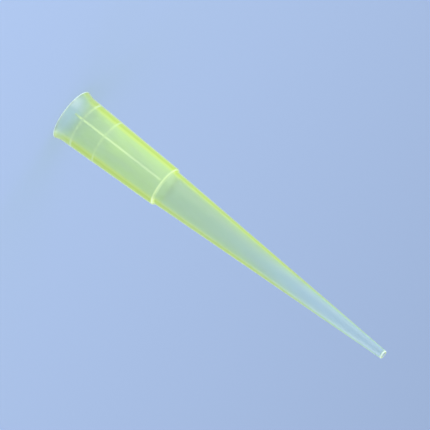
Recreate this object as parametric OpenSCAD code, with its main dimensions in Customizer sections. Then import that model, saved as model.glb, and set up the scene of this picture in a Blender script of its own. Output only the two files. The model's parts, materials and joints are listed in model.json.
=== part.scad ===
// Pipette tip: a one-piece polypropylene moulding that pushes onto an air-displacement pipette.
// Millimetres. It stands on its mouth rim: the rim's plane is z = 0 and the axis is +Z, towards the
// point. The wall is one half-section turned about that axis, so the socket is a true bore.

/* [Overall] */
// Length from the mouth rim to the point
tip_len = 50; // [40:0.5:62]

/* [Nozzle socket] */
// Diameter of the cylindrical land that grips the pipette's nozzle
land_d = 4.84; // [4:0.02:6]
// Depth of the lead-in, from the rim to the land
lead_len = 2.45; // [1.8:0.05:3.2]
// How much wider than the land the bore is at the rim, on each side
lead_flare = 0.28; // [0.1:0.01:0.5]
// Length of the land
land_len = 3.45; // [2.5:0.05:4.5]
// Step at the end of the lead-in, on each side
lead_step = 0.03; // [0.01:0.005:0.06]
// Chamfered step below the land, on each side
seat_step = 0.07; // [0.03:0.01:0.12]
// Length of that step's chamfer
seat_step_len = 0.6; // [0.3:0.05:1]
// Half-angle of the sealing taper, in degrees
seat_angle = 1.68; // [0.8:0.02:2.6]

/* [Collar] */
// Length of the collar, from the rim to its shoulder
collar_len = 15.1; // [12:0.1:19]
// Wall round the land, at the band's narrow end
band_wall = 0.64; // [0.5:0.01:1]
// Wall at the shoulder
collar_end_wall = 0.6; // [0.48:0.01:0.85]
// Where the outer band ends
band_end = 5.5; // [4.5:0.1:7]
// Half-angle of the band's taper, in degrees
band_angle = 1.85; // [0.5:0.05:3]
// How far the band stands out from the rest of the collar, on each side
band_step = 0.025; // [0.01:0.005:0.06]
// Length of the step at the band's end
band_step_len = 0.3; // [0.15:0.05:0.6]

/* [Flared rim] */
// How far the lip stands out past the band's taper
lip_out = 0.26; // [0.15:0.01:0.4]
// Distance from the rim at which the flare's line meets the band's
flare_len = 0.7; // [0.5:0.01:1]
// Radius of the curve from the flare into the band
flare_blend = 3.2; // [1:0.1:3.6]

/* [Shoulder] */
// Length of the sloped shoulder that hangs in a rack's hole
shoulder_len = 0.35; // [0.2:0.01:0.6]
// Step of the bore behind the shoulder, on each side
inner_step = 0.15; // [0.08:0.01:0.22]
// Length of that step
inner_step_len = 0.8; // [0.5:0.05:1.2]

/* [Body and point] */
// Wall of the body just below the shoulder
body_wall = 0.49; // [0.35:0.01:0.56]
// Diameter of the orifice
orifice_d = 0.5; // [0.3:0.02:0.8]
// Wall at the point
point_wall = 0.31; // [0.2:0.01:0.45]

/* [Seam ribs] */
// Number of raised seam lines along the collar
rib_count = 2; // [0:1:4]
// Width of a rib
rib_w = 0.22; // [0.12:0.01:0.4]
// Height of a rib above the collar
rib_h = 0.05; // [0.02:0.005:0.12]
// Distance from the rim at which a rib starts to rise
rib_start = 1.3; // [1:0.1:2]
// Distance from the rim at which a rib has risen to its full height
rib_full = 2.3; // [2.1:0.1:4]
// Gap between a rib's end and the shoulder
rib_gap = 0.25; // [0.1:0.01:0.6]

/* [Edges] */
// Radius of the rim's outer and inner edges
rim_edge = 0.1; // [0.04:0.01:0.14]
// Radius of the shoulder's two edges
step_edge = 0.1; // [0.04:0.01:0.2]
// Radius of the bore's two bends behind the shoulder
bore_bend = 1.5; // [0.5:0.1:2]
// Radius of the ring lines in the socket and at the band's end
ring_edge = 0.12; // [0.05:0.01:0.2]
// Radius of the point's two edges
point_edge = 0.05; // [0.02:0.01:0.08]

/* [Hidden] */
$fn = 128;
// Turn between neighbouring points of a rounded corner, in degrees
arc_step = 5;
// The most of its shorter side that a rounded corner may take
round_share = 0.78;
// How deep a rib's foot is sunk into the wall
rib_root = 0.2;

// Radii of the bore, from the land outwards and inwards
land_r = land_d / 2;
lead_end_r = land_r + lead_step;
mouth_r = land_r + lead_flare;
seat_start_r = land_r - seat_step;
land_end = lead_len + land_len;
seat_start = land_end + seat_step_len;
seat_end_r = seat_start_r - (collar_len - seat_start) * tan(seat_angle);
bore_top = collar_len + inner_step_len;
bore_top_r = seat_end_r - inner_step;
orifice_r = orifice_d / 2;

// Radii of the outside, each worked out from the bore's and the wall
band_r = land_r + band_wall;
lip_r = band_r + band_end * tan(band_angle) + lip_out;
collar_start = band_end + band_step_len;
collar_start_r = band_r - band_step;
collar_end_r = seat_end_r + collar_end_wall;
body_top_r = bore_top_r + body_wall;
point_r = orifice_r + point_wall;

// The wall's half-section as corners, each [radius, height, rounding]: up the outside from the rim
// to the point, then back down the bore
wall_outside = [
    [lip_r, 0, rim_edge],
    [outside_r(flare_len), flare_len, flare_blend],
    [band_r, band_end, ring_edge],
    [collar_start_r, collar_start, ring_edge],
    [collar_end_r, collar_len, step_edge],
    [body_top_r, collar_len + shoulder_len, step_edge],
    [point_r, tip_len, point_edge],
];
wall_bore = [
    [orifice_r, tip_len, point_edge],
    [bore_top_r, bore_top, bore_bend],
    [seat_end_r, collar_len, bore_bend],
    [seat_start_r, seat_start, ring_edge],
    [land_r, land_end, ring_edge],
    [land_r, lead_len, 0],
    [lead_end_r, lead_len - lead_step, 0],
    [mouth_r, 0, rim_edge],
];

function unit(v) = v / norm(v);

// The corner b between a and c, rounded to the radius wanted or as far as its shorter side allows,
// as points on its arc
function round_corner(a, b, c, wanted) =
    let (
        to_a = unit(a - b),
        to_c = unit(c - b),
        half = acos(to_a * to_c) / 2,
        r = min(wanted, round_share * min(norm(a - b), norm(c - b)) * tan(half)),
        centre = b + unit(to_a + to_c) * r / sin(half),
        start = b + to_a * r / tan(half) - centre,
        from = atan2(start.y, start.x),
        turn = sign(cross(b - a, c - b)) * (180 - 2 * half),
        steps = max(2, ceil(abs(turn) / arc_step))
    )
    [for (i = [0:steps]) let (at = from + turn * i / steps) centre + r * [cos(at), sin(at)]];

// A closed outline with each corner [x, y, radius] rounded, where a radius of 0 keeps it sharp
function rounded(corners) =
    let (n = len(corners), flat = [for (p = corners) [p.x, p.y]])
    [for (i = [0:n - 1])
        each corners[i].z == 0
            ? [flat[i]]
            : round_corner(flat[(i + n - 1) % n], flat[i], flat[(i + 1) % n], corners[i].z)];

// Radius of the outside at height z, on the band's taper or on the collar's
function outside_r(z) =
    z < band_end
        ? band_r + (band_end - z) * tan(band_angle)
        : lookup(z, [[band_end, band_r], [collar_start, collar_start_r], [collar_len, collar_end_r]]);

// One seam line along +X: a thin fin that rises out of the band and follows the collar's tapers
module seam_rib() {
    end = collar_len - rib_gap;
    crest = [
        [outside_r(rib_start), rib_start],
        for (z = [rib_full, band_end, collar_start, end]) [outside_r(z) + rib_h, z],
    ];
    foot = [for (z = [end, rib_start]) [outside_r(z) - rib_root, z]];
    rotate([90, 0, 0])
        linear_extrude(height = rib_w, center = true)
            polygon(concat(crest, foot));
}

module pipette_tip() {
    color([0.85, 0.92, 0.42, 0.7]) {
        rotate_extrude()
            polygon(rounded(concat(wall_outside, wall_bore)));
        if (rib_count > 0)
            for (i = [0:rib_count - 1])
                rotate([0, 0, 90 + i * 360 / rib_count])
                    seam_rib();
    }
}

pipette_tip();
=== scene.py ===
"""A 200 microlitre pipette tip, injection moulded in lemon-tinted polypropylene.

It stands on its mouth rim with its point up, as the frame has it. Lengths are named in millimetres, and
MM turns them to metres where a mesh, a light or the camera is made.
"""
import json
import math

import bmesh
import bpy
import numpy as np
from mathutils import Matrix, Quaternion, Vector


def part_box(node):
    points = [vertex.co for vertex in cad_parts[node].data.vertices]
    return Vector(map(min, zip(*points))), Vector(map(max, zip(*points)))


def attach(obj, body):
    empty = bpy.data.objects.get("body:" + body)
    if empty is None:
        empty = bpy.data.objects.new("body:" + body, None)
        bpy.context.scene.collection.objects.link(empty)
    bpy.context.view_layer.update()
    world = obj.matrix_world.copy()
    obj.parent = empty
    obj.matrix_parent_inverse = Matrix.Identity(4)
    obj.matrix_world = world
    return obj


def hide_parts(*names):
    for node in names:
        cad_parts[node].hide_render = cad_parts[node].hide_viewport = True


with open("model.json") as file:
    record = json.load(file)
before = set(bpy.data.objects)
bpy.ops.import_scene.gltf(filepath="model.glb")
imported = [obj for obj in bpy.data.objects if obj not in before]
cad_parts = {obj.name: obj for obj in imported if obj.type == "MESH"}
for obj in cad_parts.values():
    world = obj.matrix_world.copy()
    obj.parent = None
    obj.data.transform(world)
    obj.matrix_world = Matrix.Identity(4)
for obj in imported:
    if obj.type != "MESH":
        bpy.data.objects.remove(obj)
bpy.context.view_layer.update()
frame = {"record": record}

MM = 0.001
UP = Vector((0, 0, 1))


def mount(name):
    """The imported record's mount of that name."""
    return next(m for m in frame["record"]["mounts"] if m["name"] == name)


def height_of(name):
    """Height of a mount above the rim, in millimetres."""
    return mount(name)["pos_m"][2] / MM


# ---- Sizes from the frame ----
low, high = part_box("pipette_tip")
TIP_LENGTH = (high.z - low.z) / MM
LAND_RADIUS = mount("nozzle_socket")["dims"]["r_mm"]
LAND_LENGTH = mount("nozzle_socket")["dims"]["length_mm"]
LAND_START = height_of("nozzle_socket") - LAND_LENGTH / 2
LAND_END = LAND_START + LAND_LENGTH

# ---- Sizes of the moulding's details, in millimetres ----
SHOULDER_LENGTH = 0.35
COLLAR_END = height_of("rack_shoulder") - SHOULDER_LENGTH / 2
BODY_START = COLLAR_END + SHOULDER_LENGTH
BAND_WALL = 0.64
BAND_END = 5.5
BAND_ANGLE = math.radians(1.85)
BAND_STEP = 0.025
BAND_STEP_LENGTH = 0.3
LIP_OUT = 0.26
FLARE_LENGTH = 0.7
FLARE_BLEND = 3.2
COLLAR_END_WALL = 0.6
BODY_WALL = 0.49
POINT_WALL = 0.31
ORIFICE_RADIUS = 0.25
MOUTH_FLARE = 0.28
LEAD_STEP = 0.03
SEAT_STEP = 0.07
SEAT_STEP_LENGTH = 0.6
SEAT_ANGLE = math.radians(1.68)
INNER_STEP = 0.15
INNER_STEP_LENGTH = 0.8
RIM_EDGE = 0.1
STEP_EDGE = 0.1
RING_EDGE = 0.12
POINT_EDGE = 0.05
BORE_BEND = 1.5

# ---- The two seam ribs, in millimetres ----
RIB_HEIGHT = 0.05
RIB_WIDTH = 0.22
RIB_START = 1.3
RIB_FULL = 2.3
RIB_END = COLLAR_END - 0.25

# ---- Fineness of the mesh, with distances in millimetres ----
ROUND_SEGMENTS = 6
TURN_STEPS = 256
SMOOTH_ANGLE = math.radians(30)
# Places nearer to each other than this count as one
SAME_PLACE = 0.01
CUT_THRESHOLD = 0.001
MERGE_DISTANCE = 0.0001

# ---- Haze of the outer wall, the share of light it scatters seen square on, as (height, haze) ----
WALL_HAZE = [
    # The thin mouth and the socket below it
    (0, 0.18),
    (1, 0.18),
    (1.8, 0.22),
    (2.8, 0.31),
    (3.8, 0.44),
    # The thick collar
    (LAND_END + 0.7, 0.54),
    (LAND_END + 1.5, 0.62),
    (COLLAR_END, 0.62),
    # The body, which thins towards the point
    (BODY_START, 0.52),
    (BODY_START + 0.75, 0.46),
    (BODY_START + 1.15, 0.3),
    (20, 0.28),
    (30, 0.24),
    (40, 0.16),
    (TIP_LENGTH, 0.12),
]
BORE_HAZE = 0.03

# ---- Fine lines round the tip, painted highlights laid on as paler, hazier wall, as (start, end, haze, how pale), ----
# which fade out over a margin ----
LINE_MARGIN = 0.06
OUTSIDE_HIGHLIGHT_LINES = [
    # Painted highlight lines at the rim, the two ends of the socket's land, the shoulder and the point. The
    # land's ends are steps in the bore, and their lines are painted on the outer wall
    (0, 0.16, 0.9, 1),
    (LAND_START, LAND_START + 0.22, 0.48, 0.85),
    (LAND_END, LAND_END + 0.2, 0.7, 0.6),
    (COLLAR_END + 0.05, COLLAR_END + 0.15, 0.8, 1),
    (TIP_LENGTH - 0.14, TIP_LENGTH, 0.9, 1),
]
# A painted highlight line at the bore's lead-in step
BORE_HIGHLIGHT_LINES = [(LAND_START - LEAD_STEP, LAND_START, 0.3, 1)]
# Haze of the seam ribs, which lays a painted highlight along them
RIB_HAZE_AND_HIGHLIGHT = 0.82


def linear(code):
    """A hex colour as linear red, green, blue and an alpha of 1."""
    levels = [int(code[i:i + 2], 16) / 255 for i in (1, 3, 5)]
    return [c / 12.92 if c <= 0.04045 else ((c + 0.055) / 1.055) ** 2.4 for c in levels] + [1]


def add_node(tree, kind, inputs=(), **settings):
    """Adds a node with its settings. Each input is fed a socket to link, a hex colour or a value."""
    made = tree.nodes.new(kind)
    for name, value in settings.items():
        setattr(made, name, value)
    for name, fed in dict(inputs).items():
        if isinstance(fed, bpy.types.NodeSocket):
            tree.links.new(fed, made.inputs[name])
        else:
            made.inputs[name].default_value = linear(fed) if isinstance(fed, str) else fed
    return made


# ---- The moulding ----
def band_radius(height):
    """Radius of the band's taper, which runs from the flare to the band's end."""
    return LAND_RADIUS + BAND_WALL + (BAND_END - height) * math.tan(BAND_ANGLE)


def tip_corners():
    """The wall's half-section as (radius, height, rounding): up the outside, then down the bore."""
    seat_start_radius = LAND_RADIUS - SEAT_STEP
    seat_start = LAND_END + SEAT_STEP_LENGTH
    seat_end_radius = seat_start_radius - (COLLAR_END - seat_start) * math.tan(SEAT_ANGLE)
    bore_top_radius = seat_end_radius - INNER_STEP
    outside = [
        (band_radius(0) + LIP_OUT, 0, RIM_EDGE),
        (band_radius(FLARE_LENGTH), FLARE_LENGTH, FLARE_BLEND),
        (band_radius(BAND_END), BAND_END, RING_EDGE),
        (band_radius(BAND_END) - BAND_STEP, BAND_END + BAND_STEP_LENGTH, RING_EDGE),
        (seat_end_radius + COLLAR_END_WALL, COLLAR_END, STEP_EDGE),
        (bore_top_radius + BODY_WALL, BODY_START, STEP_EDGE),
        (ORIFICE_RADIUS + POINT_WALL, TIP_LENGTH, POINT_EDGE),
    ]
    bore = [
        (ORIFICE_RADIUS, TIP_LENGTH, POINT_EDGE),
        (bore_top_radius, COLLAR_END + INNER_STEP_LENGTH, BORE_BEND),
        (seat_end_radius, COLLAR_END, BORE_BEND),
        (seat_start_radius, seat_start, RING_EDGE),
        (LAND_RADIUS, LAND_END, RING_EDGE),
        (LAND_RADIUS, LAND_START, 0),
        (LAND_RADIUS + LEAD_STEP, LAND_START - LEAD_STEP, 0),
        (LAND_RADIUS + MOUTH_FLARE, 0, RIM_EDGE),
    ]
    return outside + bore


def select(obj, kind, wanted):
    """In edit mode, selects just the "verts" or "faces" for which wanted(element) is true."""
    bm = bmesh.from_edit_mesh(obj.data)
    chosen = [element for element in getattr(bm, kind) if wanted(element)]
    bpy.ops.mesh.select_all(action="DESELECT")
    for element in chosen:
        element.select_set(True)
    bm.select_flush_mode()
    bmesh.update_edit_mesh(obj.data)


def draw_outline(obj, places):
    """From a mesh of one vertex at the origin, draws a closed wire through the places."""
    bpy.ops.mesh.select_all(action="SELECT")
    bpy.ops.transform.translate(value=places[0])
    for here, there in zip(places, places[1:]):
        bpy.ops.mesh.extrude_vertices_move(TRANSFORM_OT_translate={"value": there - here})
    ends = (places[0], places[-1])
    select(obj, "verts", lambda v: min((v.co - end).length for end in ends) < SAME_PLACE * MM)
    bpy.ops.mesh.edge_face_add()


def round_corner(obj, before, corner, after, radius):
    """Rounds one corner of the wire to a radius."""
    half = (before - corner).angle(after - corner) / 2
    select(obj, "verts", lambda v: (v.co - corner).length < SAME_PLACE * MM)
    bpy.ops.mesh.bevel(
        affect="VERTICES", offset=radius / math.tan(half), segments=ROUND_SEGMENTS, profile=0.5,
    )


def outward(element):
    """How far a vertex or face looks away from the axis: above 0 on the outside, below on the bore."""
    place = element.co if isinstance(element, bmesh.types.BMVert) else element.calc_center_median()
    return element.normal.dot(Vector((place.x, place.y, 0)).normalized())


def cut_rings(obj, heights, wanted):
    """Cuts edge rings at heights in millimetres through the faces for which wanted(face) is true."""
    for height in heights:
        select(obj, "faces", wanted)
        bpy.ops.mesh.bisect(plane_co=UP * height * MM, plane_no=UP, threshold=CUT_THRESHOLD * MM)


def raise_seam_ribs(obj):
    """Raises a thin rib along the collar at -Y and at +Y, where the two halves of the mould meet."""

    def near_seam(face):
        return outward(face) > 0 and abs(face.calc_center_median().x) < RIB_WIDTH * MM

    def on_rib(face):
        middle = face.calc_center_median() / MM
        in_width = abs(middle.x) < RIB_WIDTH / 2
        return outward(face) > 0 and in_width and RIB_START < middle.z < RIB_END

    cut_rings(obj, (RIB_START, RIB_FULL, RIB_END), near_seam)
    for side in (-1, 1):
        select(obj, "faces", near_seam)
        bpy.ops.mesh.bisect(
            plane_co=(side * RIB_WIDTH / 2 * MM, 0, 0), plane_no=(1, 0, 0), threshold=CUT_THRESHOLD * MM,
        )
    select(obj, "faces", on_rib)
    bpy.ops.mesh.extrude_region_shrink_fatten(TRANSFORM_OT_shrink_fatten={"value": RIB_HEIGHT * MM})
    # A rib's foot near the rim is put back, so that the rib slopes out of the wall
    lowest = min(v.co.z for v in bmesh.from_edit_mesh(obj.data).verts if v.select)
    select(obj, "verts", lambda v: v.select and v.co.z < lowest + SAME_PLACE * MM)
    bpy.ops.transform.shrink_fatten(value=-RIB_HEIGHT * MM)


def model_tip():
    """The whole tip: a rounded outline spun about +Z into one closed wall, with its seam ribs."""
    bpy.ops.mesh.primitive_plane_add(size=MM)
    obj = bpy.context.object
    obj.name = obj.data.name = "tip"
    bpy.ops.object.mode_set(mode="EDIT")
    bpy.ops.mesh.merge(type="CENTER")
    corners = tip_corners()
    places = [Vector((radius, 0, height)) * MM for radius, height, _ in corners]
    draw_outline(obj, places)
    for i, (_, _, rounding) in enumerate(corners):
        if rounding:
            after = places[(i + 1) % len(places)]
            round_corner(obj, places[i - 1], places[i], after, rounding * MM)
    bpy.ops.mesh.select_all(action="SELECT")
    bpy.ops.mesh.spin(steps=TURN_STEPS, angle=math.tau, center=(0, 0, 0), axis=UP)
    bpy.ops.mesh.select_all(action="SELECT")
    bpy.ops.mesh.remove_doubles(threshold=MERGE_DISTANCE * MM)
    bpy.ops.mesh.normals_make_consistent(inside=False)
    raise_seam_ribs(obj)
    bpy.ops.object.mode_set(mode="OBJECT")
    bpy.ops.object.shade_smooth_by_angle(angle=SMOOTH_ANGLE)
    return obj


def cloud_at(place, outside):
    """Haze of the wall at a place in millimetres, and how pale its milk is: only the fine lines and ribs are
    pale, as painted highlights.
    """
    for start, end, haze, paleness in OUTSIDE_HIGHLIGHT_LINES if outside else BORE_HIGHLIGHT_LINES:
        if start - SAME_PLACE < place.z < end + SAME_PLACE:
            return haze, paleness
    if not outside:
        return BORE_HAZE, 0
    haze = float(np.interp(place.z, *zip(*WALL_HAZE)))
    in_width = abs(place.x) < RIB_WIDTH / 2 + SAME_PLACE
    if in_width and RIB_START - SAME_PLACE < place.z < RIB_END + SAME_PLACE:
        return float(np.interp(place.z, (RIB_START, RIB_FULL), (haze, RIB_HAZE_AND_HIGHLIGHT))), 1
    return haze, 0


def cloud_walls(obj):
    """Cuts edge rings where the haze changes, and writes the two attributes that the material reads."""
    bpy.ops.object.mode_set(mode="EDIT")
    for outside, lines in ((True, OUTSIDE_HIGHLIGHT_LINES), (False, BORE_HIGHLIGHT_LINES)):
        rings = [z for start, end, *_ in lines for z in (start - LINE_MARGIN, start, end, end + LINE_MARGIN)]
        if outside:
            rings += [height for height, _ in WALL_HAZE]
        cut_rings(obj, rings, lambda face: (outward(face) > 0) == outside)
    bm = bmesh.from_edit_mesh(obj.data)
    layers = bm.verts.layers.float
    for name in ("haze", "paleness"):
        layers.new(name)
    haze, paleness = layers["haze"], layers["paleness"]
    for vertex in bm.verts:
        vertex[haze], vertex[paleness] = cloud_at(vertex.co / MM, outward(vertex) > 0)
    bmesh.update_edit_mesh(obj.data)
    bpy.ops.object.mode_set(mode="OBJECT")


# ---- Material ----
PLASTIC_IOR = 1.49
MILK_ROUGHNESS = 0.3
CLEAR_ROUGHNESS = 0.28
# Waves in the surface: their size and depth, in millimetres
WAVE_SIZE = 2.5
WAVE_DEPTH = 0.006
# Streaks of cloudiness: their width and length, in millimetres, and how far the haze varies with them
STREAK_WIDTH = 1.5
STREAK_LENGTH = 5
STREAK_SPREAD = 0.16
# Depth of tint in the plastic, per metre
STAIN_DENSITY = 500
STAIN = "#fdfeee"
# Lemon of the milk by the wall's slant, from 0 seen square on to 1 seen edge on. It is partly the deeper
# tint of a wall seen along its length and partly painted edge glow: brighter lemon picked by the viewing
# angle
LEMON_AND_PAINTED_GLOW_BY_SLANT = [
    (0.28, "#ccf090"), (0.4, "#d6f080"), (0.52, "#cae65c"), (0.66, "#d0ea68"), (0.84, "#e0f4a4"),
]
# Milk of the thin wall, the pale milk of the painted highlight lines, and the near-white milk of the painted
# highlights at the rim and the point
THIN_MILK = "#c0fce4"
HIGHLIGHT_LINE_MILK = "#e2fcb0"
RIM_AND_POINT_HIGHLIGHT_MILK = "#e8fcf0"
# The clear share of the wall, where it is thin and where the tint shows
THIN_CLEAR = "#f8fcfa"
TINTED_CLEAR = "#daf0ac"
# Light that falls straight through
LIT_THROUGH = "#fbfdf6"


def moulded_polypropylene():
    """Natural polypropylene with a lemon tint, injection moulded and unpolished.

    Its walls are clear enough to look through, with a milky haze and a soft gloss. The tint and the haze
    both gather where a wall is seen along its length. There the milk's lemon is also picked by the viewing
    angle as painted edge glow, so the tip has lemon bands down both sides. Pale lines of painted highlight
    run round the rim, the ends of the socket's land, the shoulder and the point, and along the seam ribs.
    """
    material = bpy.data.materials.new("injection_moulded_lemon_polypropylene")
    material.use_nodes = True
    tree = material.node_tree
    tree.nodes.clear()
    haze = add_node(tree, "ShaderNodeAttribute", attribute_name="haze").outputs["Fac"]
    # How pale the milk is: the painted highlight of the fine lines and ribs
    paleness = add_node(tree, "ShaderNodeAttribute", attribute_name="paleness").outputs["Fac"]
    slant = add_node(tree, "ShaderNodeLayerWeight", {"Blend": 0.5}).outputs["Facing"]
    inside = add_node(tree, "ShaderNodeNewGeometry").outputs["Backfacing"]
    place = add_node(tree, "ShaderNodeTexCoord").outputs["Object"]

    # A moulded face is never quite flat: it has faint, broad waves
    waves = add_node(
        tree, "ShaderNodeTexNoise", {"Vector": place, "Scale": 1 / (WAVE_SIZE * MM), "Detail": 1},
    ).outputs["Fac"]
    bump = add_node(
        tree, "ShaderNodeBump", {"Height": waves, "Strength": 1, "Distance": WAVE_DEPTH * MM},
    ).outputs["Normal"]

    # The haze is streaked along the flow of the melt, by noise that nearly all lies from 0.3 to 0.7
    stretched = add_node(
        tree, "ShaderNodeMapping", {"Vector": place, "Scale": (1, 1, STREAK_WIDTH / STREAK_LENGTH)},
    ).outputs["Vector"]
    streaks = add_node(
        tree, "ShaderNodeTexNoise", {"Vector": stretched, "Scale": 1 / (STREAK_WIDTH * MM), "Detail": 2},
    ).outputs["Fac"]
    cloudiness = add_node(
        tree, "ShaderNodeMapRange",
        {"Value": streaks, "From Min": 0.3, "From Max": 0.7,
         "To Min": 1 - STREAK_SPREAD, "To Max": 1 + STREAK_SPREAD},
    ).outputs["Result"]
    cloud = add_node(
        tree, "ShaderNodeMath", {0: haze, 1: cloudiness}, operation="MULTIPLY", use_clamp=True,
    ).outputs[0]

    # A slanted wall is looked through as if it were several walls, and so less of it stays clear
    square_walls = add_node(
        tree, "ShaderNodeMapRange",
        {"Value": slant, "From Min": 0.1, "From Max": 0.36, "To Min": 1, "To Max": 1.6},
        interpolation_type="SMOOTHSTEP",
    ).outputs["Result"]
    edge_walls = add_node(
        tree, "ShaderNodeMapRange",
        {"Value": slant, "From Min": 0.3, "From Max": 0.5, "To Min": 0, "To Max": 4},
        interpolation_type="SMOOTHSTEP",
    ).outputs["Result"]
    walls = add_node(
        tree, "ShaderNodeMath", {0: square_walls, 1: edge_walls}, operation="ADD",
    ).outputs[0]
    share_clear = add_node(tree, "ShaderNodeMath", {0: 1, 1: cloud}, operation="SUBTRACT").outputs[0]
    seen_clear = add_node(
        tree, "ShaderNodeMath", {0: share_clear, 1: walls}, operation="POWER",
    ).outputs[0]
    clearness = add_node(
        tree, "ShaderNodeMath", {0: seen_clear, 1: inside}, operation="MAXIMUM",
    ).outputs[0]

    # The tint shows where the wall is hazy or slanted, and the viewing angle moves where it starts. The fine
    # lines are painted highlights, paler than the wall, and the haziest ones, at the rim and the point, are
    # nearly white painted highlights
    gathered = add_node(
        tree, "ShaderNodeMath", {0: slant, 1: 0.15, 2: haze}, operation="MULTIPLY_ADD",
    ).outputs[0]
    tint = add_node(
        tree, "ShaderNodeMapRange",
        {"Value": gathered, "From Min": 0.15, "From Max": 0.3, "To Min": 0, "To Max": 1},
        interpolation_type="SMOOTHSTEP",
    ).outputs["Result"]
    # Painted edge glow: the milk's lemon is picked by the viewing angle, so the side bands are brighter
    # lemon than the tint alone gives
    lemon = add_node(tree, "ShaderNodeValToRGB", {"Fac": slant})
    lemon.color_ramp.interpolation = "EASE"
    stops = lemon.color_ramp.elements
    for position, colour in LEMON_AND_PAINTED_GLOW_BY_SLANT:
        stops.new(position).color = linear(colour)
    stops.remove(stops[0])
    stops.remove(stops[-1])
    tinted = add_node(
        tree, "ShaderNodeMix", {"Factor": tint, "A": THIN_MILK, "B": lemon.outputs["Color"]},
        data_type="RGBA",
    ).outputs["Result"]
    # The painted highlight lines and ribs take a pale milk, and the rim and the point a nearly white one
    with_highlight_lines = add_node(
        tree, "ShaderNodeMix", {"Factor": paleness, "A": tinted, "B": HIGHLIGHT_LINE_MILK}, data_type="RGBA",
    ).outputs["Result"]
    haziest = add_node(
        tree, "ShaderNodeMapRange",
        {"Value": haze, "From Min": 0.83, "From Max": 0.9, "To Min": 0, "To Max": 1},
        interpolation_type="SMOOTHSTEP",
    ).outputs["Result"]
    milk_tone_with_painted_light = add_node(
        tree, "ShaderNodeMix", {"Factor": haziest, "A": with_highlight_lines, "B": RIM_AND_POINT_HIGHLIGHT_MILK}, data_type="RGBA",
    ).outputs["Result"]
    clear_outside = add_node(
        tree, "ShaderNodeMix", {"Factor": tint, "A": THIN_CLEAR, "B": TINTED_CLEAR}, data_type="RGBA",
    ).outputs["Result"]
    clear_tone = add_node(
        tree, "ShaderNodeMix", {"Factor": inside, "A": clear_outside, "B": "#ffffff"}, data_type="RGBA",
    ).outputs["Result"]

    milk = add_node(
        tree, "ShaderNodeBsdfPrincipled",
        {"Base Color": milk_tone_with_painted_light, "Normal": bump, "Roughness": MILK_ROUGHNESS, "IOR": PLASTIC_IOR},
    ).outputs[0]
    clear = add_node(
        tree, "ShaderNodeBsdfPrincipled",
        {"Base Color": clear_tone, "Normal": bump, "Roughness": CLEAR_ROUGHNESS, "IOR": PLASTIC_IOR,
         "Transmission Weight": 1},
    ).outputs[0]
    wall = add_node(tree, "ShaderNodeMixShader", {0: clearness, 1: milk, 2: clear}).outputs[0]

    # Light falls straight through, so the tip's inside is lit and its shadow is pale
    lit_through = add_node(tree, "ShaderNodeBsdfTransparent", {"Color": LIT_THROUGH}).outputs[0]
    rays = add_node(tree, "ShaderNodeLightPath").outputs
    light_ray = add_node(
        tree, "ShaderNodeMath", {0: rays["Is Shadow Ray"], 1: rays["Is Diffuse Ray"]},
        operation="MAXIMUM",
    ).outputs[0]
    surface = add_node(tree, "ShaderNodeMixShader", {0: light_ray, 1: wall, 2: lit_through}).outputs[0]
    tint_volume = add_node(
        tree, "ShaderNodeVolumeAbsorption", {"Color": STAIN, "Density": STAIN_DENSITY},
    ).outputs["Volume"]
    add_node(tree, "ShaderNodeOutputMaterial", {"Surface": surface, "Volume": tint_volume})
    return material


# ---- Stage ----
FLOOR_COLOUR = "#b0c8f0"
FLOOR_RADIUS = 400
FLOOR_SIDES = 96
WORLD_LIGHT = 0.35
SOFTBOX_DISTANCE = 600


def matt_card():
    """Matt coloured card, which shows soft shadows and no gloss."""
    material = bpy.data.materials.new("matt_pale_blue_card")
    material.use_nodes = True
    shader = material.node_tree.nodes["Principled BSDF"]
    shader.inputs["Base Color"].default_value = linear(FLOOR_COLOUR)
    shader.inputs["Roughness"].default_value = 1
    shader.inputs["Specular IOR Level"].default_value = 0
    return material


def lay_floor():
    """A round floor of plain card under the rim."""
    bpy.ops.mesh.primitive_circle_add(vertices=FLOOR_SIDES, radius=FLOOR_RADIUS * MM, fill_type="NGON")
    floor = bpy.context.object
    floor.name = "floor"
    floor.data.materials.append(matt_card())


def light_world():
    """An even studio surround. What is seen, mirrored or looked through shows the floor's colour."""
    world = bpy.data.worlds.new("studio")
    bpy.context.scene.world = world
    world.use_nodes = True
    tree = world.node_tree
    tree.nodes.clear()
    rays = add_node(tree, "ShaderNodeLightPath").outputs
    lighting = add_node(
        tree, "ShaderNodeBackground", {"Color": "#ffffff", "Strength": WORLD_LIGHT},
    ).outputs[0]
    seen = add_node(tree, "ShaderNodeBackground", {"Color": FLOOR_COLOUR, "Strength": 1}).outputs[0]
    looks = add_node(
        tree, "ShaderNodeMath", {0: rays["Is Camera Ray"], 1: rays["Is Glossy Ray"]},
        operation="MAXIMUM",
    ).outputs[0]
    looks = add_node(
        tree, "ShaderNodeMath", {0: looks, 1: rays["Is Transmission Ray"]}, operation="MAXIMUM",
    ).outputs[0]
    surround = add_node(tree, "ShaderNodeMixShader", {0: looks, 1: lighting, 2: seen}).outputs[0]
    add_node(tree, "ShaderNodeOutputWorld", {"Surface": surround})


def direction(azimuth, elevation):
    """Unit vector from the object to a place round it. Azimuth 0 is -Y and 90 is +X, in degrees."""
    a, e = math.radians(azimuth), math.radians(elevation)
    return Vector((math.sin(a) * math.cos(e), -math.cos(a) * math.cos(e), math.sin(e)))


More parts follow.
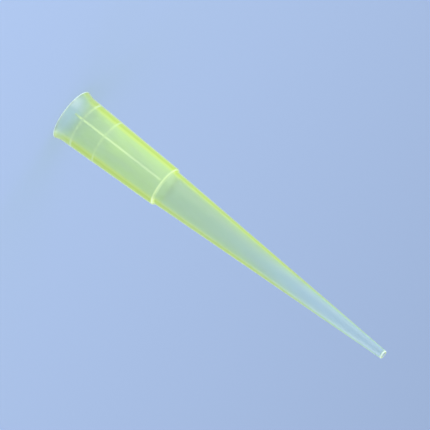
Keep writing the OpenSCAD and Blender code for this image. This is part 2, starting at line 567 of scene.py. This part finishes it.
def hang_softbox(name, azimuth, elevation, width, height, level):
    """A rectangular softbox that faces the middle of the tip.

    Its level is about the brightness of a white card there that faces it, where 1 shows as white. It
    isn't seen through the wall, so that no view shows a white patch in the plastic.
    """
    lamp = bpy.data.lights.new(name, "AREA")
    lamp.shape = "RECTANGLE"
    lamp.size, lamp.size_y = width * MM, height * MM
    lamp.energy = level * (math.pi * SOFTBOX_DISTANCE * MM) ** 2
    box = bpy.data.objects.new(name, lamp)
    bpy.context.collection.objects.link(box)
    away = direction(azimuth, elevation)
    box.location = (UP * TIP_LENGTH / 2 + away * SOFTBOX_DISTANCE) * MM
    box.rotation_mode = "QUATERNION"
    box.rotation_quaternion = (-away).to_track_quat("-Z", "Y")
    box.visible_transmission = False


# ---- Camera ----
CAMERA_AZIMUTH = 7
CAMERA_ELEVATION = 16.25
CAMERA_ROLL = 127.57
CAMERA_LENS = 1000
NEAREST_SEEN = 10
FURTHEST_SEEN = 10000
# Width of the view at the tip, and how far the tip's middle lies from the centre of the view
FRAME_WIDTH = 52.39
MIDDLE_RIGHT = 1.414
MIDDLE_DOWN = 2.334


def place_camera():
    """A long lens from a little above, rolled so that the tip points down to the right."""
    data = bpy.data.cameras.new("camera")
    data.lens = CAMERA_LENS
    data.clip_start, data.clip_end = NEAREST_SEEN * MM, FURTHEST_SEEN * MM
    camera = bpy.data.objects.new("camera", data)
    bpy.context.collection.objects.link(camera)
    back = direction(CAMERA_AZIMUTH, CAMERA_ELEVATION)
    turn = (-back).to_track_quat("-Z", "Y") @ Quaternion(UP, math.radians(CAMERA_ROLL))
    right, up = turn @ Vector((1, 0, 0)), turn @ Vector((0, 1, 0))
    target = UP * TIP_LENGTH / 2 - right * MIDDLE_RIGHT + up * MIDDLE_DOWN
    distance = FRAME_WIDTH / 2 / (data.sensor_width / 2 / data.lens)
    camera.rotation_mode = "QUATERNION"
    camera.rotation_quaternion = turn
    camera.location = (target + back * distance) * MM
    bpy.context.scene.camera = camera


# ---- Making it ----
bpy.ops.object.select_all(action="DESELECT")
place_camera()
tip = model_tip()
cloud_walls(tip)
tip.data.materials.append(moulded_polypropylene())
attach(tip, "root")
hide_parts("pipette_tip")

lay_floor()
light_world()
hang_softbox("key_softbox", azimuth=-52, elevation=20, width=600, height=500, level=0.8)
hang_softbox("rim_softbox", azimuth=128, elevation=12, width=500, height=350, level=0.4)
hang_softbox("fill_softbox", azimuth=40, elevation=50, width=600, height=600, level=0.55)
bpy.context.scene.view_settings.view_transform = "Standard"
